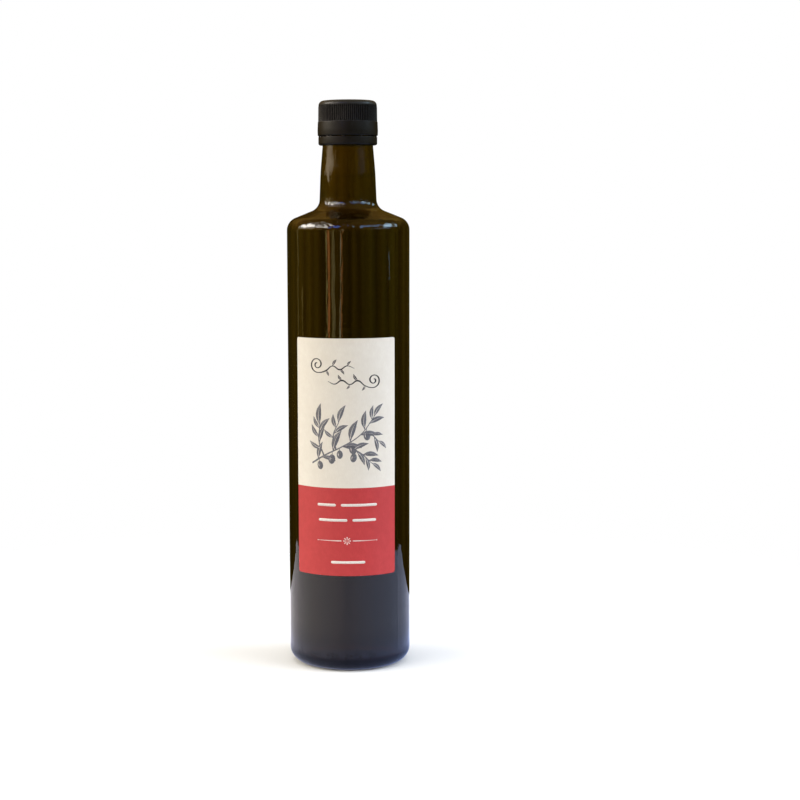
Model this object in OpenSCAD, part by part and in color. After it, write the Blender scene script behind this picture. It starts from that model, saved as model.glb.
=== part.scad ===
// Olive oil bottle, full and closed.
//
// A tall round bottle of dark glass: a straight body on a rounded foot, a
// sloping shoulder and a slim neck that tapers up to the mouth. Oil fills it
// well up into the neck. A ribbed plastic cap closes the mouth, with a
// tear-off band under it, and one paper label wraps the front of the body.
//
// Millimetres. The bottle stands on z = 0 with its axis along +Z, and the
// label faces -Y.

/* [Body] */
// Outer diameter of the straight body
body_d = 69; // [60:0.5:85]
// Height of the straight wall's top, where it starts to round into the shoulder
body_h = 247; // [205:1:300]
// Glass thickness of the body and the shoulder
body_wall = 3.6; // [2:0.1:4.5]
// Radius of the rounded foot
heel_r = 8; // [6:0.5:12]
// Glass thickness of the bottom
base_t = 5; // [3:0.5:8]
// Radius of the hollow under the bottom, inside the ring that the bottle stands on
punt_r = 20; // [12:0.5:24]
// Height of that hollow at its middle
punt_h = 5; // [2:0.5:12]

/* [Shoulder] */
// Fall of the shoulder from the neck to the body, in degrees from level
shoulder_slope = 22; // [15:1:45]
// Radius that rounds the body into the shoulder
shoulder_r = 7; // [4:0.5:12]
// Radius that blends the shoulder into the neck
neck_blend_r = 6.5; // [3:0.5:10]

/* [Neck] */
// Outer diameter of the neck at its foot
neck_foot_d = 32.4; // [29:0.2:40]
// Outer diameter of the neck where its taper steepens
neck_knee_d = 30.7; // [28.5:0.1:32.4]
// Outer diameter of the glass inside the closure
finish_d = 28.2; // [24:0.1:30]
// Height of the neck from the shoulder to the closure
neck_h = 34.6; // [25:0.2:60]
// Glass thickness of the neck
neck_wall = 3.2; // [2:0.1:4]

/* [Closure] */
// Radial room between the glass and the closure, which the glass bead fills
closure_gap = 1.05; // [0.5:0.05:2]
// Wall thickness of the cap and the band
closure_wall = 1.3; // [0.8:0.1:2.5]
// How far the cap's smooth ring stands out from the band
ring_step = 0.45; // [0.1:0.05:1]
// Height of the tear-off band
band_h = 4.6; // [3:0.1:8]
// Open tear line between the band and the cap
tear_gap = 0.5; // [0.3:0.1:1]
// Height of the cap
cap_h = 19.4; // [14:0.1:30]
// Height of the cap's smooth ring
ring_h = 7.8; // [4:0.1:9]
// Thickness of the cap's top
cap_top_t = 2; // [1:0.1:4]
// Radius of the cap's rounded top edge
crown_r = 2.6; // [1:0.1:4]
// Number of ribs round the cap
rib_count = 90; // [40:1:140]
// Depth of the grooves between the ribs
rib_depth = 0.35; // [0.1:0.05:0.6]

/* [Oil] */
// Distance from the mouth's rim down to the oil
headspace = 40.2; // [20:0.2:55]

/* [Label] */
// Width of the label, measured round the glass
label_w = 62; // [30:1:120]
// Height of the label
label_h = 132.6; // [60:0.2:180]
// Height of the label's lower edge above the table
label_z = 55.4; // [15:0.2:70]
// Thickness of the label
label_t = 0.15; // [0.1:0.05:0.5]
// Radius of the label's corners
label_corner_r = 1.2; // [0.5:0.1:5]

/* [Hidden] */
$fn = 180;

// The bottle's outer outline
body_r = body_d / 2;
neck_foot_r = neck_foot_d / 2;
neck_knee_r = neck_knee_d / 2;
finish_r = finish_d / 2;
// where the lines of the body and the shoulder would meet without their rounding
shoulder_corner_z = body_h + shoulder_r * tan((90 - shoulder_slope) / 2);
neck_foot_z = shoulder_corner_z + (body_r - neck_foot_r) * tan(shoulder_slope);
neck_knee_z = neck_foot_z + 0.575 * neck_h;
neck_knee_r_blend = 4 * neck_h;

// Heights of the closure, from the band upwards
band_z = neck_foot_z + neck_h;
cap_z = band_z + band_h + tear_gap;
ring_top_z = cap_z + ring_h;
cap_top_z = cap_z + cap_h;
ceiling_z = cap_top_z - cap_top_t;
rim_z = ceiling_z;
rim_round = 0.8;

// Radii of the closure
closure_inner_r = finish_r + closure_gap;
band_r = closure_inner_r + closure_wall;
ring_r = band_r + ring_step;
rib_tip_r = band_r + 0.05;
rib_root_r = rib_tip_r - rib_depth;
rib_top_z = cap_top_z - crown_r;
crown_foot_r = rib_root_r - 0.1;

// The glass bead that the band grips
bead_z = band_z + 0.3 * band_h;
bead_top_z = band_z + 0.85 * band_h;
bead_round = 0.4;

// The bottle's inner outline keeps the walls' thickness
cavity_r = body_r - body_wall;
cavity_drop = body_wall / cos(shoulder_slope);
cavity_shoulder_z = shoulder_corner_z + body_wall * tan(shoulder_slope) - cavity_drop;
cavity_neck_r = neck_foot_r - neck_wall;
cavity_neck_z = neck_foot_z + neck_wall * tan(shoulder_slope) - cavity_drop;
bore_r = finish_r - neck_wall;

fill_z = rim_z - headspace;
label_angle = label_w / body_r * 180 / PI;

function unit(v) = v / norm(v);
function turned(v, angle) = [v.x * cos(angle) - v.y * sin(angle), v.x * sin(angle) + v.y * cos(angle)];
function reversed(list) = [for (i = [len(list) - 1:-1:0]) list[i]];

// The arc of radius r that rounds the corner p between its neighbours a and b
function corner_arc(a, p, b, r) =
    let (
        to_a = unit(a - p),
        to_b = unit(b - p),
        half = acos(to_a * to_b) / 2,
        centre = p + unit(to_a + to_b) * r / sin(half),
        start = p + to_a * r / tan(half) - centre,
        turn = (180 - 2 * half) * sign(to_a.y * to_b.x - to_a.x * to_b.y),
        steps = ceil(abs(turn) / 6) + 1
    )
    [for (i = [0:steps]) centre + turned(start, turn * i / steps)];

// A path through corners given as [radius from the axis, height, rounding]
function rounded(corners) =
    [for (i = [0:len(corners) - 1])
        let (
            c = corners[i],
            p = [c[0], c[1]],
            a = corners[max(i - 1, 0)],
            b = corners[min(i + 1, len(corners) - 1)]
        )
        each (c[2] > 0 ? corner_arc([a[0], a[1]], p, [b[0], b[1]], c[2]) : [p])];

// A shallow round dome that rises h above height z at the axis and ends at radius r
function dome(r, h, z) =
    let (ball = (r * r + h * h) / (2 * h), steps = 8)
    [for (i = [0:steps]) [r * i / steps, z + h - ball + sqrt(ball * ball - pow(r * i / steps, 2)), 0]];

// Outside of the glass, from the middle of the bottom up to the rim
outer_path = rounded(concat(
    dome(punt_r, punt_h, 0),
    [
        [body_r, 0, heel_r],
        [body_r, shoulder_corner_z, shoulder_r],
        [neck_foot_r, neck_foot_z, neck_blend_r],
        [neck_knee_r, neck_knee_z, neck_knee_r_blend],
        [finish_r, band_z, 0],
        [finish_r, bead_z, 0],
        [closure_inner_r, bead_z, bead_round],
        [closure_inner_r, bead_top_z, bead_round],
        [finish_r, bead_top_z, 0],
        [finish_r, rim_z, rim_round],
        [bore_r, rim_z, 0]
    ]
));

// Inside of the glass, from the middle of the floor up to the rim
inner_path = rounded(concat(
    dome(punt_r, punt_h, base_t),
    [
        [cavity_r, base_t, heel_r - body_wall / 2],
        [cavity_r, cavity_shoulder_z, max(shoulder_r - body_wall, 0.5)],
        [cavity_neck_r, cavity_neck_z, neck_blend_r + neck_wall],
        [neck_knee_r - neck_wall, neck_knee_z, neck_knee_r_blend],
        [bore_r, band_z, 0],
        [bore_r, rim_z, 0]
    ]
));

// The blown glass: one hollow shell with a domed bottom and an open mouth
module glass_bottle() {
    color([0.16, 0.11, 0.02])
        rotate_extrude()
            polygon(concat(outer_path, reversed(inner_path)));
}

// The oil: everything inside the glass below the fill level
module olive_oil() {
    color([0.55, 0.42, 0.05])
        rotate_extrude()
            intersection() {
                polygon(concat(inner_path, [[0, rim_z]]));
                square([body_d, fill_z]);
            }
}

// Zigzag outline of the grip, with one tip for each rib
module rib_outline() {
    polygon([for (i = [0:2 * rib_count - 1])
        let (r = i % 2 == 0 ? rib_tip_r : rib_root_r, angle = 180 * i / rib_count)
        [r * cos(angle), r * sin(angle)]]);
}

// The cap: rounded crown, ribbed grip and smooth ring over one plain bore
module cap() {
    color([0.07, 0.07, 0.075])
        difference() {
            union() {
                rotate_extrude()
                    polygon(rounded([
                        [0, rib_top_z, 0],
                        [crown_foot_r, rib_top_z, 0],
                        [crown_foot_r, cap_top_z, crown_r - 0.1],
                        [0, cap_top_z, 0]
                    ]));
                translate([0, 0, ring_top_z - 0.5])
                    linear_extrude(rib_top_z - ring_top_z + 0.5)
                        rib_outline();
                rotate_extrude()
                    polygon(rounded([
                        [0, cap_z, 0],
                        [ring_r, cap_z, 0.6],
                        [ring_r, cap_z + 0.5 * ring_h, 0],
                        [ring_r - 0.15, ring_top_z, 0.2],
                        [0, ring_top_z, 0]
                    ]));
            }
            translate([0, 0, cap_z - 1])
                cylinder(r = closure_inner_r, h = ceiling_z - cap_z + 1);
        }
}

// The tear-off band: a plain ring that grips the glass bead
module tamper_band() {
    color([0.07, 0.07, 0.075])
        rotate_extrude()
            polygon(rounded([
                [closure_inner_r, band_z, 0],
                [band_r, band_z, 1.1],
                [band_r, band_z + band_h, 0.3],
                [closure_inner_r, band_z + band_h, 0]
            ]));
}

// Cutter that leaves a corner at the origin with a round of radius r
module corner_cutter(r) {
    difference() {
        translate([-r, -r])
            square(3 * r);
        translate([-r, -r])
            circle(r);
    }
}

// The label: one sheet of paper on the glass, with rounded corners
module front_label() {
    color([0.9, 0.87, 0.82])
        difference() {
            rotate([0, 0, -90 - label_angle / 2])
                rotate_extrude(angle = label_angle)
                    translate([body_r, label_z])
                        square([label_t, label_h]);
            for (side = [-1, 1], end = [-1, 1])
                rotate([0, 0, side * label_angle / 2])
                    translate([0, 2 - body_r, label_z + (end + 1) / 2 * label_h])
                        rotate([90, 0, 0])
                            linear_extrude(4)
                                scale([side, end])
                                    corner_cutter(label_corner_r);
        }
}

glass_bottle();
olive_oil();
cap();
tamper_band();
front_label();
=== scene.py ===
import math

import bmesh
import bpy
from mathutils import Matrix, Vector


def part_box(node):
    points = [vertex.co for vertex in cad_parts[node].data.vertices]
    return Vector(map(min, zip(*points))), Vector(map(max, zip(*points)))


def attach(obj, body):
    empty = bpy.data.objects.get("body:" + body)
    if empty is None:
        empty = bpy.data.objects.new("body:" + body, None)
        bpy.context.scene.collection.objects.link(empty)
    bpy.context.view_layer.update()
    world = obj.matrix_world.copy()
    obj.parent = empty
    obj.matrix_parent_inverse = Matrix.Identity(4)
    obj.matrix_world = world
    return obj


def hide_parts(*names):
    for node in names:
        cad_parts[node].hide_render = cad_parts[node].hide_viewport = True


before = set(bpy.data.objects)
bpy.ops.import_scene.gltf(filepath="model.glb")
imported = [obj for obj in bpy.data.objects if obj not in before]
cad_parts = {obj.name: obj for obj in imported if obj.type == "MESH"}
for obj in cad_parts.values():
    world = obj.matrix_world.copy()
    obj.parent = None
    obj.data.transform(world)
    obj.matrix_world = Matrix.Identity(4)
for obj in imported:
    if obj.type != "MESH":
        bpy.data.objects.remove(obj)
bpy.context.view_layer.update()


# ---------------------------------------------------------------- the bottle
# Blown glass of a dark olive brown, one hollow shell with a domed bottom. It
# is drawn as half an outline, its corners are rounded, and it is turned round
# the axis, like the mould that shaped it.

glass_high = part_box("glass_bottle")[1]
body_radius = glass_high.x
rim_height = glass_high.z

wall, neck_wall, bottom_wall = 0.0036, 0.0032, 0.005
# the hollow under the bottom is level near the axis and runs out at the foot's ring
hollow_height, hollow_level_radius, foot_ring_radius = 0.005, 0.0115, 0.020
shoulder_height, shoulder_slope = 0.2517, math.radians(22)
shoulder_fall = math.tan(shoulder_slope)
wall_drop = wall / math.cos(shoulder_slope)
neck_foot_radius, neck_foot_height = 0.0162, 0.2591
neck_knee_radius, neck_knee_height = 0.01535, 0.279
finish_radius, finish_height = 0.0141, 0.2937
bead_radius, bead_foot, bead_top = 0.01515, 0.2951, 0.2976
bore_radius = finish_radius - neck_wall
glass_turns = 160
smooth_below = math.radians(40)


def select_spots(piece, test):
    """In edit mode, selects the points of piece that pass test."""
    bpy.ops.mesh.select_mode(type="VERT")
    mesh = bmesh.from_edit_mesh(piece.data)
    for vert in mesh.verts:
        vert.select = test(vert)
    mesh.select_flush_mode()
    bmesh.update_edit_mesh(piece.data)


def draw_outline(name, corners):
    """An edge path through corners given as (radius, height, rounding)."""
    bpy.ops.object.select_all(action="DESELECT")
    bpy.ops.mesh.primitive_plane_add(size=0.001)
    piece = bpy.context.object
    piece.name = piece.data.name = name
    spots = [Vector((radius, 0, height)) for radius, height, _ in corners]
    bpy.ops.object.mode_set(mode="EDIT")
    bpy.ops.mesh.select_mode(type="VERT")
    bpy.ops.mesh.merge(type="CENTER")
    bpy.ops.transform.translate(value=spots[0])
    for here, there in zip(spots, spots[1:]):
        bpy.ops.mesh.extrude_region_move(
            TRANSFORM_OT_translate={"value": there - here})
    for before, here, after, corner in zip(spots, spots[1:], spots[2:], corners[1:]):
        rounding = corner[2]
        if rounding:
            turn = (here - before).angle(after - here)
            select_spots(piece, lambda vert: (vert.co - here).length < 1e-7)
            bpy.ops.mesh.bevel(offset=rounding * math.tan(turn / 2), affect="VERTICES",
                               segments=max(3, round(math.degrees(turn) / 7)))
    bpy.ops.object.mode_set(mode="OBJECT")
    return piece


def turn_round(piece, steps):
    """Spins an outline once round the axis and closes it into a clean surface."""
    bpy.ops.object.mode_set(mode="EDIT")
    bpy.ops.mesh.select_all(action="SELECT")
    bpy.ops.mesh.spin(steps=steps, angle=2 * math.pi, center=(0, 0, 0), axis=(0, 0, 1))
    bpy.ops.mesh.select_all(action="SELECT")
    bpy.ops.mesh.remove_doubles(threshold=1e-6)
    bpy.ops.mesh.normals_make_consistent(inside=False)
    bpy.ops.object.mode_set(mode="OBJECT")
    bpy.ops.object.shade_smooth_by_angle(angle=smooth_below)


bottle = draw_outline("bottle", [
    (0, hollow_height, 0),
    (hollow_level_radius, hollow_height, 0.02),
    (foot_ring_radius, 0, 0.0012),
    (body_radius, 0, 0.008),
    (body_radius, shoulder_height, 0.007),
    (neck_foot_radius, neck_foot_height, 0.0065),
    (neck_knee_radius, neck_knee_height, 0.138),
    (finish_radius, finish_height, 0),
    (finish_radius, bead_foot, 0.0003),
    (bead_radius, bead_foot, 0.0004),
    (bead_radius, bead_top, 0.0004),
    (finish_radius, bead_top, 0.0003),
    (finish_radius, rim_height, 0.0008),
    (bore_radius, rim_height, 0.0008),
    (bore_radius, finish_height, 0.02),
    (neck_knee_radius - neck_wall, neck_knee_height, 0.138),
    (neck_foot_radius - neck_wall,
     neck_foot_height + neck_wall * shoulder_fall - wall_drop, 0.0097),
    (body_radius - wall, shoulder_height + wall * shoulder_fall - wall_drop, 0.0034),
    (body_radius - wall, bottom_wall, 0.0062),
    (foot_ring_radius, bottom_wall, 0.004),
    (hollow_level_radius, hollow_height + bottom_wall, 0.02),
    (0, hollow_height + bottom_wall, 0),
])
turn_round(bottle, glass_turns)

# the line that the mould's two halves leave, down both sides
seam_turn, seam_half, seam_swell = math.radians(56.25), 0.00035, 1.0022
seam_way = Vector((math.sin(seam_turn), -math.cos(seam_turn), 0))
seam_square = Vector((-seam_way.y, seam_way.x, 0))
bpy.ops.object.mode_set(mode="EDIT")
for side in (-seam_half, seam_half):
    bpy.ops.mesh.select_all(action="SELECT")
    bpy.ops.mesh.bisect(plane_co=seam_square * side, plane_no=seam_square)
select_spots(bottle, lambda vert: abs(vert.co.dot(seam_square)) < 1e-5
             and 0.003 < vert.co.z < finish_height - 0.002
             and vert.normal.dot(Vector((vert.co.x, vert.co.y, 0)).normalized()) > 0.05)
bpy.ops.transform.resize(value=(seam_swell, seam_swell, 1), center_override=(0, 0, 0))


def cut_level(*heights):
    """In edit mode, cuts the piece level at each height."""
    for height in heights:
        bpy.ops.mesh.select_all(action="SELECT")
        bpy.ops.mesh.bisect(plane_co=(0, 0, height), plane_no=(0, 0, 1))


# edges just inside each straight run, so that it is shaded straight up to its end
straight_foot, straight_top = 0.0120, 0.2462
cut_level(straight_foot, straight_top, 0.2538, 0.2572, 0.2642)
# raised marks of the mould in a row above the heel: tall ones, short ones, dots,
# each on one step of the turning and in a shallow groove
mark_foot, mark_step = 0.0081, 0.001
mark_first, mark_last = -25, 12
mark_groove, mark_rise = 0.00012, 0.00025
cut_level(*(mark_foot + row * mark_step for row in range(4)))


def mark_rows(turn):
    """Which rows of small faces above the heel a mark fills, turn degrees from the front."""
    step = round(turn / (360 / glass_turns) - 0.5)
    if step % 2 or step % 18 in (8, 16) or not mark_first <= step <= mark_last:
        return ()
    return ((0, 1, 2), (0, 2), (0, 1, 2), (1,), (0, 1))[step // 2 * 3 % 5]


def select_marks(piece):
    """In edit mode, selects the small faces that the marks stand on."""
    bpy.ops.mesh.select_mode(type="FACE")
    mesh = bmesh.from_edit_mesh(piece.data)
    for face in mesh.faces:
        spot = face.calc_center_median()
        turn = math.degrees(math.atan2(spot.x, -spot.y))
        outside = face.normal.dot(Vector((spot.x, spot.y, 0))) > 0
        row = math.floor((spot.z - mark_foot) / mark_step)
        face.select = outside and row in mark_rows(turn)
    mesh.select_flush_mode()
    bmesh.update_edit_mesh(piece.data)


select_marks(bottle)
bpy.ops.mesh.inset(thickness=0.0001, depth=-mark_groove)
bpy.ops.mesh.inset(thickness=0.00012, depth=mark_rise)
bpy.ops.object.mode_set(mode="OBJECT")
bpy.ops.object.shade_smooth_by_angle(angle=smooth_below)


def node_adder(tree):
    """A helper that adds a node to tree, with its inputs set or linked."""
    def add(kind, inputs=None, **settings):
        node = tree.nodes.new(kind)
        for key, value in settings.items():
            setattr(node, key, value)
        for key, value in (inputs or {}).items():
            if isinstance(value, bpy.types.NodeSocket):
                tree.links.new(value, node.inputs[key])
            else:
                node.inputs[key].default_value = value
        return node
    return add


def new_material(name):
    """A material, the helper that adds nodes to it, its Principled shader and its tree."""
    material = bpy.data.materials.new(name)
    material.use_nodes = True
    tree = material.node_tree
    return material, node_adder(tree), tree.nodes["Principled BSDF"], tree


def dress(piece, *materials):
    """Gives a piece its materials and no others."""
    piece.data.materials.clear()
    for material in materials:
        piece.data.materials.append(material)


dark_glass, add, shader, tree = new_material("dark_olive_glass")
place = add("ShaderNodeTexCoord").outputs["Object"]
height = add("ShaderNodeSeparateXYZ", {0: place}).outputs["Z"]
# the blown glass is drawn into fine upright strands, stronger up the neck
flat_place = add("ShaderNodeMapping", {"Vector": place, "Scale": (1.0, 1.0, 0.0)})
around = add("ShaderNodeVectorMath", {0: flat_place.outputs[0]}, operation="NORMALIZE")
even_radius = (0.026, 0.026, 0.0)
stretched = add("ShaderNodeMapping", {"Vector": place, "Scale": (0.0, 0.0, 0.05)})
strand_place = add("ShaderNodeVectorMath", {0: around.outputs[0], 1: even_radius,
                                            2: stretched.outputs[0]},
                   operation="MULTIPLY_ADD")
strands = add("ShaderNodeTexNoise",
              {"Vector": strand_place.outputs[0], "Scale": 800.0, "Detail": 1.0})
strand_share = add("ShaderNodeMapRange", {"Value": height, "From Min": 0.242, "From Max": 0.254,
                                          "To Min": 0.07, "To Max": 0.42})
strand_bump = add("ShaderNodeBump", {"Height": strands.outputs[0], "Distance": 0.00032,
                                     "Strength": strand_share.outputs[0]})
# where the shoulder stretched it, short ripples lie aslant
aslant = add("ShaderNodeMapping", {"Vector": place, "Scale": (0.0, 0.0, 1.0),
                                   "Rotation": (0, math.radians(50), 0)})
ripple_place = add("ShaderNodeVectorMath", {0: around.outputs[0], 1: even_radius,
                                            2: aslant.outputs[0]},
                   operation="MULTIPLY_ADD")
ripples = add("ShaderNodeTexNoise",
              {"Vector": ripple_place.outputs[0], "Scale": 520.0, "Detail": 0.0})
ripple_share = add("ShaderNodeValToRGB", {0: height})
for spot, share in ((0.246, 0.0), (0.2485, 1.0), (0.2515, 1.0), (0.2535, 0.12),
                    (0.2572, 0.12), (0.259, 1.0), (0.262, 1.0), (0.266, 0.0)):
    ripple_share.color_ramp.elements.new(spot).color = (share, share, share, 1)
ripple_share.color_ramp.elements.remove(ripple_share.color_ramp.elements[0])
ripple_share.color_ramp.elements.remove(ripple_share.color_ramp.elements[-1])
ripple_bump = add("ShaderNodeBump", {"Height": ripples.outputs[0], "Distance": 0.00042,
                                     "Strength": ripple_share.outputs[0],
                                     "Normal": strand_bump.outputs[0]})
# all over, a skin of slight dimples and a slow sway of the wall
peel = add("ShaderNodeTexNoise", {"Vector": place, "Scale": 240.0, "Detail": 0.0})
peel_bump = add("ShaderNodeBump", {"Height": peel.outputs[0], "Strength": 1.0,
                                   "Distance": 0.000012, "Normal": ripple_bump.outputs[0]})
sway_place = add("ShaderNodeMapping", {"Vector": place, "Scale": (1.0, 1.0, 0.4)})
sway = add("ShaderNodeTexNoise",
           {"Vector": sway_place.outputs[0], "Scale": 75.0, "Detail": 1.0})
glass_bump = add("ShaderNodeBump", {"Height": sway.outputs[0], "Strength": 1.0,
                                    "Distance": 0.0002, "Normal": peel_bump.outputs[0]})
shader.inputs["Base Color"].default_value = (0.93, 0.90, 0.80, 1)
shader.inputs["Transmission Weight"].default_value = 1.0
shader.inputs["Roughness"].default_value = 0.02
shader.inputs["IOR"].default_value = 1.52
tree.links.new(glass_bump.outputs[0], shader.inputs["Normal"])
soak = add("ShaderNodeVolumeAbsorption", {"Color": (0.66, 0.57, 0.0, 1), "Density": 700.0})
tree.links.new(soak.outputs[0], tree.nodes["Material Output"].inputs["Volume"])
dress(bottle, dark_glass)
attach(bottle, "root")
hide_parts("glass_bottle")


# ------------------------------------------------------------------- the oil
# Golden green oil that fills the glass well up into the neck. It reaches a
# little way into the wall, and its surface climbs where it wets the glass.

oil_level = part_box("olive_oil")[1].z
soak_in = 0.00025
neck_share = (oil_level - neck_foot_height) / (neck_knee_height - neck_foot_height)
level_radius = (neck_foot_radius - neck_wall
                + neck_share * (neck_knee_radius - neck_foot_radius))
oil = draw_outline("oil", [
    (0, hollow_height + bottom_wall - soak_in, 0),
    (hollow_level_radius, hollow_height + bottom_wall - soak_in, 0.02),
    (foot_ring_radius, bottom_wall - soak_in, 0.004),
    (body_radius - wall + soak_in, bottom_wall - soak_in, 0.0062),
    (body_radius - wall + soak_in,
     shoulder_height + wall * shoulder_fall - wall_drop, 0.0034),
    (neck_foot_radius - neck_wall + soak_in,
     neck_foot_height + neck_wall * shoulder_fall - wall_drop + soak_in, 0.0097),
    (level_radius + soak_in, oil_level + 0.0006, 0),
    (level_radius - 0.0002, oil_level + 0.0005, 0),
    (level_radius - 0.0008, oil_level + 0.0001, 0.0006),
    (level_radius - 0.0022, oil_level, 0.002),
    (0, oil_level, 0),
])
turn_round(oil, 96)
bpy.ops.object.mode_set(mode="EDIT")
cut_level(straight_foot, straight_top)
bpy.ops.object.mode_set(mode="OBJECT")
bpy.ops.object.shade_smooth_by_angle(angle=smooth_below)

golden_oil, add, shader, tree = new_material("golden_green_oil")
shader.inputs["Base Color"].default_value = (0.97, 0.94, 0.80, 1)
shader.inputs["Transmission Weight"].default_value = 1.0
shader.inputs["Roughness"].default_value = 0.0
shader.inputs["IOR"].default_value = 1.47
soak = add("ShaderNodeVolumeAbsorption", {"Color": (0.88, 0.91, 0.0, 1), "Density": 60.0})
tree.links.new(soak.outputs[0], tree.nodes["Material Output"].inputs["Volume"])
dress(oil, golden_oil)
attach(oil, "root")
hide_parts("olive_oil")


# ------------------------------------------------------------- the front label
# One sheet of uncoated paper, cut with round corners and rolled on to the
# glass. It is printed in two fields, cream above and red below.

label_low, label_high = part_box("front_label")
label_bottom, label_top = label_low.z, label_high.z
label_width = 0.062
label_split = 0.105
upper_round, lower_round = 0.0011, 0.0016
strip_width = 0.0008
paper_back, paper_face = 0.00001, 0.00011


def wrap_round_body(piece):
    """Rolls a flat drawing, made on y = 0 and facing -Y, round the body's front."""
    bpy.ops.object.select_all(action="DESELECT")
    piece.select_set(True)
    bpy.context.view_layer.objects.active = piece
    xs = [corner[0] for corner in piece.bound_box]
    roll = piece.modifiers.new("roll", "SIMPLE_DEFORM")
    roll.deform_method = "BEND"
    roll.deform_axis = "Z"
    roll.angle = (max(xs) - min(xs)) / body_radius
    bpy.ops.object.modifier_apply(modifier=roll.name)
    piece.data.transform(Matrix.Translation((0, -body_radius, 0)))


def slice_upright(piece, step):
    """Cuts a flat drawing into upright strips, so that it can be rolled smoothly."""
    xs = [corner[0] for corner in piece.bound_box]
    count = math.ceil((max(xs) - min(xs)) / step)
    for i in range(1, count):
        cut = min(xs) + (max(xs) - min(xs)) * i / count
        bpy.ops.mesh.select_all(action="SELECT")
        bpy.ops.mesh.bisect(plane_co=(cut, 0, 0), plane_no=(1, 0, 0))


bpy.ops.object.select_all(action="DESELECT")
bpy.ops.mesh.primitive_plane_add(size=1, rotation=(math.pi / 2, 0, 0),
                                 location=(0, 0, (label_bottom + label_top) / 2))
label = bpy.context.object
label.name = label.data.name = "paper_label"
label.scale = (label_width, label_top - label_bottom, 1)
bpy.ops.object.transform_apply(location=True, rotation=True, scale=True)
bpy.ops.object.mode_set(mode="EDIT")
select_spots(label, lambda vert: vert.co.z > label_split)
bpy.ops.mesh.bevel(offset=upper_round, segments=6, affect="VERTICES")
select_spots(label, lambda vert: vert.co.z < label_bottom + 1e-5)
bpy.ops.mesh.bevel(offset=lower_round, segments=6, affect="VERTICES")
bpy.ops.mesh.select_all(action="SELECT")
bpy.ops.mesh.bisect(plane_co=(0, 0, label_split), plane_no=(0, 0, 1))
slice_upright(label, strip_width)
bpy.ops.object.mode_set(mode="OBJECT")
label.data.transform(Matrix.Translation((0, -paper_back, 0)))
thick = label.modifiers.new("thick", "SOLIDIFY")
thick.thickness = paper_face - paper_back
thick.offset = 1
bpy.ops.object.modifier_apply(modifier=thick.name)
wrap_round_body(label)
bpy.ops.object.shade_smooth_by_angle(angle=smooth_below)


def paper_material(name, base, shade, roughness):
    """Uncoated paper: soft mottling, short fibres and a faint tooth."""
    material, add, shader, tree = new_material(name)
    place = add("ShaderNodeTexCoord").outputs["Object"]
    mottle = add("ShaderNodeTexNoise", {"Vector": place, "Scale": 260.0, "Detail": 4.0})
    fibre_place = add("ShaderNodeMapping", {"Vector": place, "Scale": (1.0, 1.0, 0.22)})
    fibre = add("ShaderNodeTexNoise",
                {"Vector": fibre_place.outputs[0], "Scale": 2600.0, "Detail": 3.0})
    blend = add("ShaderNodeMath", {0: mottle.outputs[0], 1: fibre.outputs[0]},
                operation="MULTIPLY")
    ramp = add("ShaderNodeMapRange", {"Value": blend.outputs[0], "From Min": 0.12,
                                      "From Max": 0.42})
    tint = add("ShaderNodeMix", {"Factor": ramp.outputs[0], "A": (*shade, 1),
                                 "B": (*base, 1)}, data_type="RGBA")
    tree.links.new(tint.outputs["Result"], shader.inputs["Base Color"])
    shader.inputs["Roughness"].default_value = roughness
    shader.inputs["Specular IOR Level"].default_value = 0.35
    tooth = add("ShaderNodeBump", {"Height": fibre.outputs[0], "Strength": 0.25,
                                   "Distance": 0.00003})
    tree.links.new(tooth.outputs[0], shader.inputs["Normal"])
    return material


cream_paper = paper_material("cream_paper", (0.80, 0.745, 0.655), (0.75, 0.69, 0.60), 0.75)
red_print = paper_material("red_print", (0.53, 0.040, 0.040), (0.47, 0.033, 0.033), 0.6)
dress(label, cream_paper, red_print)
for face in label.data.polygons:
    face.material_index = 0 if face.center.z > label_split else 1
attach(label, "root")
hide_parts("front_label")


# ------------------------------------------------------------ the label's print
# Litho ink on the paper: a pen flourish, a sprig of olive in grey, and plain
# cream bars with a divider on the red. Each is a flat film of ink, drawn as
# strokes and rolled on to the paper.

print_middle = 0.0012
ink_film = 0.00002
millimetre = 0.001


def pen_stroke(points):
    """One smooth stroke through points (across, up, half width), in millimetres."""
    bpy.ops.object.select_all(action="DESELECT")
    bpy.ops.curve.primitive_bezier_curve_add()
    stroke = bpy.context.object
    bpy.ops.object.mode_set(mode="EDIT")
    bpy.ops.curve.select_all(action="SELECT")
    bpy.ops.curve.delete(type="VERT")
    for across, up, half in points:
        bpy.ops.curve.vertex_add(location=(across * millimetre, 0, up * millimetre))
        bpy.ops.curve.radius_set(radius=half)
    bpy.ops.curve.select_all(action="SELECT")
    bpy.ops.curve.handle_type_set(type="AUTOMATIC")
    bpy.ops.object.mode_set(mode="OBJECT")
    stroke.data.dimensions = "3D"
    stroke.data.bevel_depth = millimetre
    stroke.data.bevel_resolution = 1
    stroke.data.resolution_u = 6
    stroke.data.use_fill_caps = True
    bpy.ops.object.convert(target="MESH")
    return bpy.context.object


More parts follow.
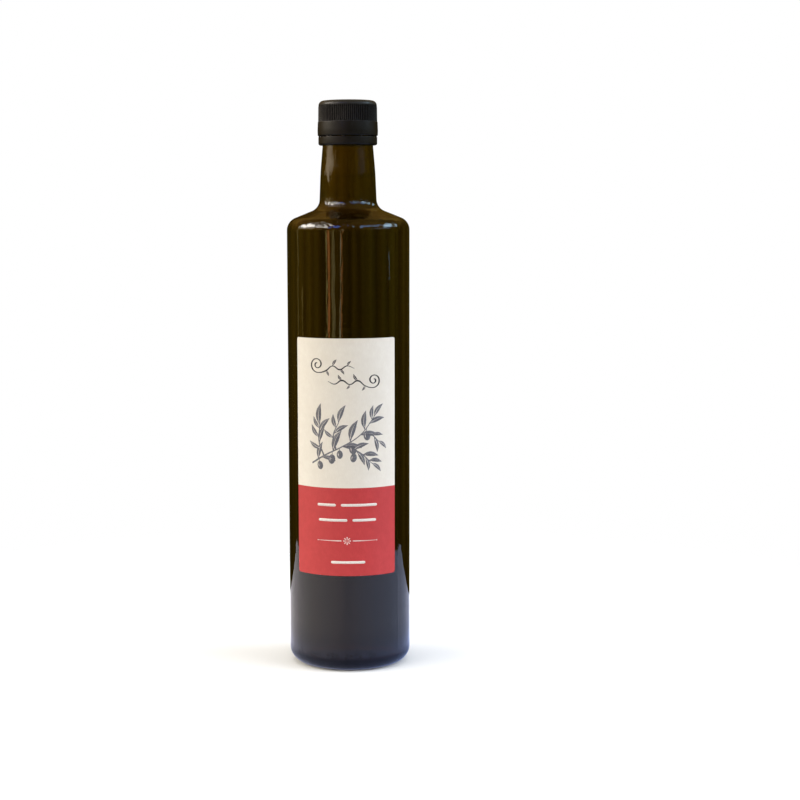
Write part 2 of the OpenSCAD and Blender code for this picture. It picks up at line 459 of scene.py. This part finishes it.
def print_on_label(name, strokes, ink):
    """Joins strokes into one film of ink and rolls it on to the paper."""
    bpy.ops.object.select_all(action="DESELECT")
    for stroke in strokes:
        stroke.select_set(True)
    film = strokes[0]
    bpy.context.view_layer.objects.active = film
    bpy.ops.object.join()
    film.name = film.data.name = name
    bpy.ops.object.transform_apply(location=True, rotation=True, scale=True)
    bpy.ops.object.mode_set(mode="EDIT")
    for side in (-1, 1):
        select_spots(film, lambda vert: vert.co.y * side > 1e-6)
        bpy.ops.transform.resize(value=(1, 0, 1), center_override=(0, side * ink_film, 0))
    bpy.ops.mesh.select_all(action="SELECT")
    bpy.ops.transform.translate(value=(print_middle, -paper_face, 0))
    bpy.ops.mesh.normals_make_consistent(inside=False)
    bpy.ops.object.mode_set(mode="OBJECT")
    wrap_round_body(film)
    dress(film, ink)
    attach(film, "root")


def ink_material(name, base, thin):
    """Printing ink, a little thinner where the paper's tooth took less of it."""
    material, add, shader, tree = new_material(name)
    place = add("ShaderNodeTexCoord").outputs["Object"]
    cover = add("ShaderNodeTexNoise", {"Vector": place, "Scale": 1500.0, "Detail": 3.0})
    ramp = add("ShaderNodeMapRange", {"Value": cover.outputs[0], "From Min": 0.35,
                                      "From Max": 0.7})
    tint = add("ShaderNodeMix", {"Factor": ramp.outputs[0], "A": (*base, 1),
                                 "B": (*thin, 1)}, data_type="RGBA")
    tree.links.new(tint.outputs["Result"], shader.inputs["Base Color"])
    shader.inputs["Roughness"].default_value = 0.55
    return material


black_ink = ink_material("black_ink", (0.012, 0.010, 0.010), (0.030, 0.027, 0.027))
grey_ink = ink_material("grey_ink", (0.095, 0.095, 0.108), (0.17, 0.17, 0.185))
cream_ink = ink_material("cream_ink", (0.80, 0.76, 0.70), (0.74, 0.62, 0.57))


def curl_path(across, up, radius, start, turns):
    """Points of a curl that winds in from radius, each (across, up, half width)."""
    points, steps = [], 16
    for i in range(steps + 1):
        share = i / steps
        lean = math.radians(start) + turns * 2 * math.pi * share
        reach = radius * (1 - 0.84 * share ** 0.85)
        points.append((across + reach * math.cos(lean), up + reach * math.sin(lean),
                       0.28 + 0.24 * math.sin(share * math.pi * 3) ** 2))
    return points


def leaf_strokes(root, lean, long, wide):
    """A leaf from its root, leaning at lean, and the pale midrib that lies on it."""
    way = Vector((math.cos(lean), math.sin(lean)))
    across = Vector((-way.y, way.x))
    outline, rib = [], []
    for share, half in ((0, 0.12), (0.12, 0.34), (0.3, 0.84), (0.5, 1.0), (0.7, 0.80),
                        (0.88, 0.34), (1, 0.05)):
        spot = root + way * long * share + across * long * 0.09 * math.sin(share * math.pi)
        outline.append((spot.x, spot.y, half * wide))
        if 0.1 < share < 0.9:
            rib.append((spot.x, spot.y, 0.17 * (1.1 - share)))
    return pen_stroke(outline), pen_stroke(rib)


# two lines of one pen flourish, each a curl that runs out into low waves, with
# leaves as (across, up, lean, length); the midribs are printed with the cream ink
flourish, cream_strokes = [], []
upper_waves = [(-11.6, 170.2, 0.46), (-7.6, 172.9, 0.30), (-3.6, 170.9, 0.48),
               (0.4, 173.0, 0.28), (4.4, 171.6, 0.12)]
flourish.append(pen_stroke(curl_path(-16.9, 173.6, 4.6, -78, -1.55)[::-1] + upper_waves))
lower_waves = [(-10.4, 164.4, 0.12), (-6.6, 162.9, 0.32), (-2.4, 165.0, 0.50),
               (1.9, 162.7, 0.32), (6.2, 164.8, 0.48), (10.4, 161.9, 0.32)]
flourish.append(pen_stroke(lower_waves + curl_path(15.4, 164.9, 4.2, -100, 1.5)))
for across, up, lean, long in ((-7.6, 172.9, 58, 4.2), (-3.6, 170.9, -48, 3.6),
                               (0.4, 173.0, 50, 3.4), (-2.4, 165.0, 125, 3.8),
                               (6.2, 164.8, 122, 4.4), (1.9, 162.7, -128, 3.2),
                               (-11.6, 170.2, -60, 3.4), (10.4, 161.9, -126, 3.2)):
    leaf, rib = leaf_strokes(Vector((across, up)), math.radians(lean), long, 0.2 * long)
    flourish.append(leaf)
    cream_strokes.append(rib)
print_on_label("label_flourish", flourish, black_ink)

# the sprig: twigs, each with leaves as (share of the way along, side, length)
sprig = []


def grow_olive(root, lean, long, wide):
    """A hanging olive on a short stalk, with a pale fleck for its shine."""
    way = Vector((math.cos(lean), math.sin(lean)))
    start = root + way * 1.6
    sprig.append(pen_stroke([(root.x, root.y, 0.2), (start.x, start.y, 0.2)]))
    body = []
    for share in (0, 0.06, 0.2, 0.4, 0.6, 0.8, 0.94, 1):
        spot = start + way * long * share
        half = max(0.15, wide * math.sqrt(max(0, 1 - (2 * share - 1) ** 2)))
        body.append((spot.x, spot.y, half))
    sprig.append(pen_stroke(body))
    fleck = [start + way * long * share + Vector((-wide * 0.42, 0)) for share in (0.3, 0.5, 0.7)]
    cream_strokes.append(pen_stroke([(spot.x, spot.y, half)
                                     for spot, half in zip(fleck, (0.06, 0.22, 0.06))]))


twigs = (
    (((-20.5, 118.5), (-12, 123.5), (-2, 128.5), (8, 135), (15.5, 144.5)),
     ((0.12, 1, 10), (0.18, -1, 8.5), (0.36, 1, 12.5), (0.5, -1, 10.5), (0.6, 1, 12.5),
      (0.74, -1, 10.5), (0.82, 1, 10.5), (0.9, -1, 10), (0.96, 1, 8), (1, 0, 9))),
    (((-13, 123), (-16, 131), (-15.5, 140)),
     ((0.25, 1, 8.5), (0.45, -1, 10), (0.62, 1, 8.5), (0.78, -1, 10), (0.9, 1, 7.5),
      (1, 0, 12))),
    (((-2, 128.5), (7, 125), (14, 118.8)),
     ((0.3, 1, 9.5), (0.42, -1, 9), (0.62, 1, 9.5), (0.75, -1, 7.5), (0.88, 1, 8), (1, 0, 7.5))),
    (((-6, 126.5), (-7.5, 134), (-4.5, 141.5)),
     ((0.45, 1, 7), (0.6, -1, 9), (0.8, 1, 8), (1, 0, 10.5))),
    (((8, 135), (14, 134.5), (18, 131)),
     ((0.5, 1, 7), (0.7, -1, 8.5), (1, 0, 7))),
)
for spots, leaves in twigs:
    trail = [Vector(spot) for spot in spots]
    count = len(trail) - 1
    sprig.append(pen_stroke([(spot.x, spot.y, 0.55 - 0.33 * i / count)
                             for i, spot in enumerate(trail)]))
    for share, side, long in leaves:
        leg = min(int(share * count), count - 1)
        root = trail[leg].lerp(trail[leg + 1], share * count - leg)
        along = trail[leg + 1] - trail[leg]
        lean = math.atan2(along.y, along.x) + side * math.radians(46 - 14 * share)
        leaf, rib = leaf_strokes(root, lean, long, 0.165 * long)
        sprig.append(leaf)
        cream_strokes.append(rib)
# its olives, each as (root, lean, length, half width)
for spot, lean, long, wide in (((-8, 125.5), -95, 5.4, 2.3), ((2.5, 131), -78, 5.6, 2.4),
                               ((4.5, 126), -100, 5.0, 2.1), ((-16, 121.5), -80, 4.8, 2.0),
                               ((11, 138.5), -85, 5.4, 2.3), ((-4, 127.8), -88, 4.8, 2.0)):
    grow_olive(Vector(spot), math.radians(lean), long, wide)
print_on_label("label_sprig", sprig, grey_ink)


def plain_bar(start, end, up, half):
    """A straight bar with round ends."""
    reach = (0, 0.12, 0.4, 1)
    ends = [(start + half * share, half * math.sqrt(1 - (1 - share) ** 2) + 0.02)
            for share in reach]
    middle = [(start + (end - start) * share, half) for share in (0.3, 0.5, 0.7)]
    others = [(start + end - across, size) for across, size in reversed(ends)]
    return pen_stroke([(across, up, size) for across, size in ends + middle + others])


# the bars on the red, then the divider: two tapered rules and a rosette between them
for start, end, up in ((-17.2, -6.2, 95.4), (-3.4, 17.2, 95.4), (-16.4, 0.2, 86.9),
                       (3.0, 16.6, 86.9), (-9.2, 10.2, 63.1)):
    cream_strokes.append(plain_bar(start, end, up, 0.85))
divider_up, rule_end, rule_dot = 75.3, 17.0, 0.3
for side in (-1, 1):
    cream_strokes.append(pen_stroke([
        (side * (3.2 + 13.6 * share), divider_up, half)
        for share, half in ((0, 0.30), (0.3, 0.26), (0.6, 0.17), (1, 0.10))]))
    cream_strokes.append(plain_bar(side * rule_end - rule_dot, side * rule_end + rule_dot,
                                   divider_up, rule_dot))
petals = 8
for petal in range(petals):
    turn = 2 * math.pi * petal / petals
    cream_strokes.append(pen_stroke([
        (reach * math.cos(turn), divider_up + reach * math.sin(turn), half)
        for reach, half in ((0.5, 0.08), (1.2, 0.17), (1.9, 0.30), (2.2, 0.12))]))
print_on_label("label_bars", cream_strokes, cream_ink)


# ------------------------------------------------------------- the screw cap
# Moulded black plastic: a rounded crown, a grip of fine upright ribs, and a
# smooth ring below that stands a little proud. It is turned hollow, and then
# every rib's valley is pressed in.

cap_low, cap_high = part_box("cap")
cap_bottom, cap_top = cap_low.z, cap_high.z
ring_radius = cap_high.x
grip_radius = 0.0165
closure_bore = 0.01515
ring_top = cap_bottom + 0.0078
crown_round, crown_thickness = 0.0026, 0.002
dish_radius, dish_edge, dish_depth = 0.0104, 0.0108, 0.0003
rib_count, points_per_rib = 90, 6
rib_depth = 0.0006
cap = draw_outline("screw_cap", [
    (0, cap_top - dish_depth, 0),
    (dish_radius, cap_top - dish_depth, 0.0003),
    (dish_edge, cap_top, 0.0004),
    (grip_radius - 0.0004, cap_top, crown_round),
    (grip_radius - 0.0002, cap_top - crown_round - 0.0004, 0),
    (grip_radius - 0.0001, cap_top - crown_round - 0.0012, 0),
    (grip_radius, ring_top + 0.0004, 0),
    (grip_radius, ring_top, 0),
    (ring_radius - 0.0002, ring_top, 0.0002),
    (ring_radius, cap_bottom + 0.0030, 0.01),
    (ring_radius - 0.0001, cap_bottom, 0.0007),
    (closure_bore, cap_bottom, 0.0003),
    (closure_bore, cap_top - crown_thickness, 0.0005),
    (0, cap_top - crown_thickness, 0),
])
turn_round(cap, rib_count * points_per_rib)
bpy.ops.object.mode_set(mode="EDIT")
rib_turn = 2 * math.pi / rib_count


def on_rib_step(vert):
    """Which of the points across a rib this one is, or None away from the grip."""
    x, y, z = vert.co
    outside = math.hypot(x, y) > grip_radius - 0.00045
    if outside and ring_top + 0.0003 < z < cap_top - crown_round - 0.0002:
        return round(math.atan2(y, x) / rib_turn * points_per_rib) % points_per_rib
    return None


# each point across a rib, and how much of the valley's depth it is pressed in
for press, share in ((0, 1.0), (1, 0.55), (5, 0.55), (2, 0.08), (4, 0.08)):
    select_spots(cap, lambda vert: on_rib_step(vert) == press)
    size = 1 - share * rib_depth / grip_radius
    bpy.ops.transform.resize(value=(size, size, 1), center_override=(0, 0, 0))
bpy.ops.object.mode_set(mode="OBJECT")

black_plastic, add, shader, tree = new_material("black_satin_plastic")
place = add("ShaderNodeTexCoord").outputs["Object"]
grain = add("ShaderNodeTexNoise", {"Vector": place, "Scale": 2400.0, "Detail": 2.0})
haze = add("ShaderNodeTexNoise", {"Vector": place, "Scale": 160.0, "Detail": 3.0})
# clean black; the crown painted paler as a highlight; the grip's valleys duller and darker with
# painted shade
spot = add("ShaderNodeSeparateXYZ", {0: place})
around = add("ShaderNodeMath", {0: spot.outputs["Y"], 1: spot.outputs["X"]},
             operation="ARCTAN2")
ribs = add("ShaderNodeMath", {0: around.outputs[0], 1: rib_count / (2 * math.pi)},
           operation="MULTIPLY")
rib_share = add("ShaderNodeMath", {0: ribs.outputs[0]}, operation="FRACT")
from_tip = add("ShaderNodeMath", {0: rib_share.outputs[0], 1: 0.5}, operation="SUBTRACT")
off_tip = add("ShaderNodeMath", {0: from_tip.outputs[0]}, operation="ABSOLUTE")
valley = add("ShaderNodeMapRange", {"Value": off_tip.outputs[0], "From Min": 0.17,
                                    "From Max": 0.34})
above_ring = add("ShaderNodeMapRange", {"Value": spot.outputs["Z"],
                                        "From Min": ring_top + 0.0001,
                                        "From Max": ring_top + 0.0004})
below_crown = add("ShaderNodeMapRange", {"Value": spot.outputs["Z"],
                                         "From Min": cap_top - crown_round + 0.0004,
                                         "From Max": cap_top - crown_round - 0.0004})
on_grip = add("ShaderNodeMath", {0: above_ring.outputs[0], 1: below_crown.outputs[0]},
              operation="MULTIPLY")
in_valley_share = add("ShaderNodeMath", {0: valley.outputs[0], 1: on_grip.outputs[0]},
                      operation="MULTIPLY")
tint = add("ShaderNodeMix", {"Factor": haze.outputs[0], "A": (0.0030, 0.0030, 0.0031, 1),
                             "B": (0.0075, 0.0067, 0.0055, 1)}, data_type="RGBA")
# painted highlight: the crown's top is given a paler base colour
crown_painted_highlight = add("ShaderNodeMix", {"Factor": below_crown.outputs[0], "A": (0.015, 0.0145, 0.013, 1),
                               "B": tint.outputs["Result"]}, data_type="RGBA")
# painted shade: the valleys of the grip are darkened towards black
shade = add("ShaderNodeMix", {"Factor": in_valley_share.outputs[0],
                              "A": crown_painted_highlight.outputs["Result"], "B": (0.0008, 0.0008, 0.0008, 1)},
            data_type="RGBA")
tree.links.new(shade.outputs["Result"], shader.inputs["Base Color"])
rough = add("ShaderNodeMapRange", {"Value": haze.outputs[0], "To Min": 0.30, "To Max": 0.46})
dull = add("ShaderNodeMix", {"Factor": in_valley_share.outputs[0], "A": rough.outputs[0],
                             "B": 1.0})
tree.links.new(dull.outputs[0], shader.inputs["Roughness"])
shader.inputs["Specular IOR Level"].default_value = 0.20
satin = add("ShaderNodeBump", {"Height": grain.outputs[0], "Strength": 0.2,
                               "Distance": 0.00002})
tree.links.new(satin.outputs[0], shader.inputs["Normal"])
dress(cap, black_plastic)
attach(cap, "root")
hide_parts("cap")


# --------------------------------------------------------- the tear-off band
# The same black plastic. A plain ring with a softened lower edge hangs below
# the cap, and short bridges across the tear line still hold it.

band_low, band_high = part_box("tamper_band")
band = draw_outline("tear_off_band", [
    (closure_bore, band_low.z, 0.0003),
    (band_high.x, band_low.z, 0.0011),
    (band_high.x, band_high.z, 0.0003),
    (closure_bore, band_high.z, 0.0002),
    (closure_bore, band_low.z, 0),
])
turn_round(band, 180)
bridge_count, first_bridge, bridge_radius = 10, 14, 0.01605
half_tear_line = 0.00025
bridges = []
for bridge in range(bridge_count):
    turn = math.radians(first_bridge + 360 / bridge_count * bridge)
    bpy.ops.mesh.primitive_cube_add(size=1, rotation=(0, 0, turn), location=(
        bridge_radius * math.cos(turn), bridge_radius * math.sin(turn),
        band_high.z + half_tear_line))
    piece = bpy.context.object
    piece.scale = (0.0007, 0.0013, 0.0009)
    bpy.ops.object.transform_apply(location=True, rotation=True, scale=True)
    soften = piece.modifiers.new("soften", "BEVEL")
    soften.width = 0.0001
    soften.segments = 2
    bpy.ops.object.modifier_apply(modifier=soften.name)
    bridges.append(piece)
for piece in [*bridges, band]:
    piece.select_set(True)
bpy.context.view_layer.objects.active = band
bpy.ops.object.join()
dress(band, black_plastic)
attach(band, "root")
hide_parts("tamper_band")


# ------------------------------------------------------------ floor and light
# A pale floor that fades into white, and a pale table top that only
# reflections see; the table glows with painted light, warm on the left and
# blue on the right, and a painted shadow of the bottle round its foot.
# Upright panels stand for the warm and the cool windows of a dim brown room,
# and narrow ones for its door frame.

bpy.ops.object.select_all(action="DESELECT")
bpy.ops.mesh.primitive_circle_add(vertices=96, radius=2.0, fill_type="NGON")
floor = bpy.context.object
floor.name = "floor"
floor_paint, add, shader, tree = new_material("floor_paint")
shader.inputs["Base Color"].default_value = (0.93, 0.93, 0.93, 1)
shader.inputs["Roughness"].default_value = 0.9
place = add("ShaderNodeTexCoord").outputs["Object"]
reach = add("ShaderNodeVectorMath", {0: place}, operation="LENGTH")
fade = add("ShaderNodeMapRange", {"Value": reach.outputs["Value"], "From Min": 0.06,
                                  "From Max": 0.45}, interpolation_type="SMOOTHSTEP")
clear = add("ShaderNodeBsdfTransparent")
mixed = add("ShaderNodeMixShader", {0: fade.outputs[0], 1: shader.outputs[0],
                                    2: clear.outputs[0]})
tree.links.new(mixed.outputs[0], tree.nodes["Material Output"].inputs["Surface"])
dress(floor, floor_paint)
floor.visible_glossy = False
floor.visible_transmission = False
floor.visible_shadow = False

bpy.ops.object.select_all(action="DESELECT")
table_middle, table_size = (-0.004, -0.2055, -0.0003), (0.748, 0.761, 1)
bpy.ops.mesh.primitive_plane_add(size=1, location=table_middle)
table = bpy.context.object
table.name = "table_top"
table.scale = table_size
bpy.ops.object.transform_apply(location=True, rotation=True, scale=True)
table_painted_glow, add, shader, tree = new_material("table_painted_glow")
place = add("ShaderNodeTexCoord").outputs["Object"]
way = add("ShaderNodeVectorMath", {0: place}, operation="NORMALIZE")
across = add("ShaderNodeSeparateXYZ", {0: way.outputs["Vector"]}).outputs["X"]
share = add("ShaderNodeMapRange", {"Value": across, "From Min": -1.0})
# painted light: warm towards the left window, grey in the middle, blue towards the right one
tone = add("ShaderNodeValToRGB", {0: share.outputs[0]})
tone.color_ramp.elements[0].color = (0.94, 0.88, 0.90, 1)
tone.color_ramp.elements[1].color = (0.56, 0.66, 0.95, 1)
tone.color_ramp.elements.new(0.5).color = (0.50, 0.49, 0.60, 1)
reach = add("ShaderNodeVectorMath", {0: place}, operation="LENGTH")
# the bottle's own shade lies blue round its foot
lit = add("ShaderNodeValToRGB", {0: reach.outputs["Value"]})
lit.color_ramp.elements[0].position = 0.045
lit.color_ramp.elements[0].color = (0.34, 0.38, 0.49, 1)
lit.color_ramp.elements[1].position = 0.14
lit.color_ramp.elements[1].color = (0.86, 0.86, 0.86, 1)
lit.color_ramp.elements.new(0.07).color = (0.76, 0.80, 0.94, 1)
lit.color_ramp.elements.new(0.10).color = (0.75, 0.77, 0.81, 1)
shaded = add("ShaderNodeMix", {"Factor": 1.0, "A": tone.outputs[0], "B": lit.outputs[0]},
             data_type="RGBA", blend_type="MULTIPLY")
# the table glows with this painted light and painted shadow instead of being lit
glow = add("ShaderNodeEmission", {"Color": shaded.outputs["Result"], "Strength": 1.75})
tree.links.new(glow.outputs[0], tree.nodes["Material Output"].inputs["Surface"])
dress(table, table_painted_glow)
table.visible_camera = False
table.visible_diffuse = False
table.visible_transmission = False
table.visible_shadow = False


def soft_light(name, location, turned, size, colour, radiance):
    """A rectangle of light of this size and radiance that the camera doesn't see."""
    bpy.ops.object.light_add(type="AREA", location=location)
    lamp = bpy.context.object
    lamp.name = name
    lamp.rotation_euler = turned
    lamp.data.shape = "RECTANGLE"
    lamp.data.size, lamp.data.size_y = size
    lamp.data.color = colour
    lamp.data.energy = radiance * math.pi * lamp.data.size * lamp.data.size_y
    lamp.visible_camera = False
    return lamp


# the panels' angles are counted from the camera's own turn to the label's right
camera_turn = math.radians(4.29)


def panel(name, sides, rises, colour, radiance):
    """An upright light between two angles to the camera's right and two of height."""
    distance, level = 1.5, 0.26
    turn = math.radians(sum(sides) / 2) + camera_turn
    away = Vector((math.sin(turn), -math.cos(turn), 0))
    foot, head = [level + distance * math.tan(math.radians(rise)) for rise in rises]
    width = 2 * distance * math.tan(math.radians(sides[1] - sides[0]) / 2)
    return soft_light(name, away * distance + Vector((0, 0, (foot + head) / 2)),
                      away.to_track_quat("Z", "Y").to_euler(), (width, head - foot),
                      colour, radiance)


# the windows, their sills and what hangs above, which only show as reflections
for name, sides, rises, colour, radiance in (
        ("warm_sill_left", (-106, -80), (5.8, 15), (1.0, 0.88, 0.66), 2.2),
        ("warm_sill", (-80, -66), (8.3, 15), (1.0, 0.88, 0.66), 3.0),
        ("warm_sill_right", (-66, -46), (9.9, 14), (1.0, 0.86, 0.60), 0.9),
        ("warm_window", (-105, -72), (19.5, 40), (1.0, 0.95, 0.88), 18.0),
        ("warm_upper", (-104, -44), (41, 60), (1.0, 0.94, 0.86), 1.4),
        ("warm_high", (-70, -40), (24, 38), (1.0, 0.94, 0.88), 9.0),
        ("blue_high", (-40, -14), (24, 42), (0.07, 0.24, 1.0), 4.5),
        ("cool_sill", (48, 80), (7.5, 12), (0.60, 0.72, 1.0), 0.2),
        ("cool_ledge", (46, 92), (12.5, 18), (0.50, 0.74, 1.0), 1.3),
        ("cool_window", (82, 103), (22, 40), (0.50, 0.76, 1.0), 10.0),
        ("cool_high", (20, 78), (28, 39), (0.28, 0.54, 1.0), 3.4)):
    lamp = panel(name, sides, rises, colour, radiance)
    lamp.visible_diffuse = False
    lamp.visible_transmission = False
# their light on the dull surfaces
for name, sides, colour, radiance in (("warm_fill", (-120, -40), (1.0, 0.93, 0.79), 3.6),
                                      ("cool_fill", (50, 110), (0.79, 0.87, 1.0), 5.3)):
    lamp = panel(name, sides, (5, 45), colour, radiance)
    lamp.visible_glossy = False
    lamp.visible_transmission = False
# the door frame's edges, which show as narrow streaks down the body
for name, sides, rises, colour, radiance in (
        ("pale_frame_left", (-41.8, -40), (-12, 3.5), (1.0, 0.86, 0.34), 1.7),
        ("red_frame", (-38.6, -34.6), (-12, 3.5), (1.0, 0.33, 0.11), 2.7),
        ("pale_frame", (-31, -24.5), (-12, 3.5), (1.0, 0.88, 0.42), 0.8),
        ("thin_frame", (-15.8, -14), (-12, 3.5), (1.0, 0.88, 0.58), 1.9),
        ("thin_red_frame", (-13, -11.4), (-12, 3.5), (1.0, 0.40, 0.14), 1.9),
        ("side_frame", (-110, -107.5), (-12, 3.5), (1.0, 0.90, 0.45), 0.4),
        ("side_frame_low", (-97.5, -94.5), (-7, -3.85), (1.0, 0.80, 0.30), 0.6),
        ("blue_frame", (81.2, 83.2), (-3.5, -2.1), (0.45, 0.72, 1.0), 1.4)):
    strip = panel(name, sides, rises, colour, radiance)
    strip.visible_diffuse = False
    strip.visible_transmission = False
overhead = soft_light("overhead", (0, 0, 1.55), (0, 0, 0), (1.8, 1.8), (1.0, 1.0, 1.0), 1.5)
overhead.visible_glossy = False
overhead.visible_transmission = False

# the dim brown room, warm on one side and cool on the other, that the glass
# mirrors; all else stands in a plain pale studio
world = bpy.data.worlds.new("room")
bpy.context.scene.world = world
world.use_nodes = True
world.node_tree.nodes.clear()
room_node = node_adder(world.node_tree)
paths = room_node("ShaderNodeLightPath")
way = room_node("ShaderNodeTexCoord").outputs["Generated"]
sideways, behind, upward = room_node("ShaderNodeSeparateXYZ", {0: way}).outputs
rise = room_node("ShaderNodeMapRange", {"Value": upward, "From Min": -1.0})
walls = room_node("ShaderNodeValToRGB", {0: rise.outputs[0]})
walls.color_ramp.elements[0].position = 0.35
walls.color_ramp.elements[0].color = (0.06, 0.040, 0.003, 1)
walls.color_ramp.elements[1].position = 0.78
walls.color_ramp.elements[1].color = (0.27, 0.155, 0.030, 1)
walls.color_ramp.elements.new(0.52).color = (0.14, 0.095, 0.008, 1)
walls.color_ramp.elements.new(0.56).color = (0.21, 0.120, 0.008, 1)
clutter_place = room_node("ShaderNodeMapping", {"Vector": way, "Scale": (5.0, 5.0, 0.5)})
clutter = room_node("ShaderNodeTexNoise",
                    {"Vector": clutter_place.outputs[0], "Scale": 1.0, "Detail": 3.0})
light_and_dark = room_node("ShaderNodeMapRange",
                           {"Value": clutter.outputs[0], "From Min": 0.35, "From Max": 0.65,
                            "To Min": 0.45, "To Max": 1.6})
in_glass = room_node("ShaderNodeMath", {0: paths.outputs["Is Glossy Ray"],
                                        1: paths.outputs["Is Transmission Ray"]},
                     operation="MAXIMUM")
studio = room_node("ShaderNodeMapRange", {"Value": paths.outputs["Is Camera Ray"],
                                          "To Min": 0.32, "To Max": 1.0})
side_share = room_node("ShaderNodeMapRange", {"Value": sideways, "From Min": -1.0})
side_tone = room_node("ShaderNodeValToRGB", {0: side_share.outputs[0]})
side_tone.color_ramp.elements[0].color = (1.0, 0.92, 0.9, 1)
side_tone.color_ramp.elements[1].color = (0.72, 0.88, 1.0, 1)
side_tone.color_ramp.elements.new(0.5).color = (0.52, 0.50, 0.50, 1)
toned = room_node("ShaderNodeMix", {"Factor": 1.0, "A": walls.outputs[0],
                                    "B": side_tone.outputs[0]},
                  data_type="RGBA", blend_type="MULTIPLY")
room_light = room_node("ShaderNodeMath", {0: light_and_dark.outputs[0], 1: 2.55},
                       operation="MULTIPLY")
# the wall behind the bottle mirrors darker, up to the ceiling
back_wall = room_node("ShaderNodeMapRange", {"Value": behind, "From Min": 0.15,
                                             "From Max": 0.8, "To Min": 1.0, "To Max": 0.3})
ceiling_share = room_node("ShaderNodeMapRange", {"Value": upward, "From Min": 0.25,
                                                 "From Max": 0.5, "To Min": 0.0})
back_tone = room_node("ShaderNodeMix", {"Factor": ceiling_share.outputs[0],
                                        "A": back_wall.outputs[0], "B": 1.0})
mirror_tone = room_node("ShaderNodeMix", {"Factor": paths.outputs["Is Glossy Ray"],
                                          "A": 1.0, "B": back_tone.outputs[0]})
room_strength = room_node("ShaderNodeMath", {0: room_light.outputs[0],
                                             1: mirror_tone.outputs[0]},
                          operation="MULTIPLY")
dim = room_node("ShaderNodeBackground", {"Color": toned.outputs["Result"],
                                         "Strength": room_strength.outputs[0]})
white = room_node("ShaderNodeBackground", {"Color": (1, 1, 1, 1),
                                           "Strength": studio.outputs[0]})
pick = room_node("ShaderNodeMixShader", {0: in_glass.outputs[0], 1: white.outputs[0],
                                         2: dim.outputs[0]})
room_node("ShaderNodeOutputWorld", {"Surface": pick.outputs[0]})


# ---------------------------------------------------------------- the camera
# A long lens a little to the right of the label, level with the shoulder and
# tipped down.

camera_distance, camera_height = 1.0062, 0.2561
camera_pitch, camera_roll = math.radians(7.65), math.radians(-0.26)
bpy.ops.object.camera_add(location=(camera_distance * math.sin(camera_turn),
                                    -camera_distance * math.cos(camera_turn),
                                    camera_height))
camera = bpy.context.object
camera.rotation_euler = (Matrix.Rotation(camera_turn, 3, "Z")
                         @ Matrix.Rotation(math.pi / 2 - camera_pitch, 3, "X")
                         @ Matrix.Rotation(camera_roll, 3, "Z")).to_euler()
camera.data.lens = 79.81
camera.data.sensor_width = 36
camera.data.shift_x = 0.0635
camera.data.shift_y = 0.0643
camera.data.clip_start = 0.05
bpy.context.scene.camera = camera
bpy.context.scene.view_settings.view_transform = "Standard"
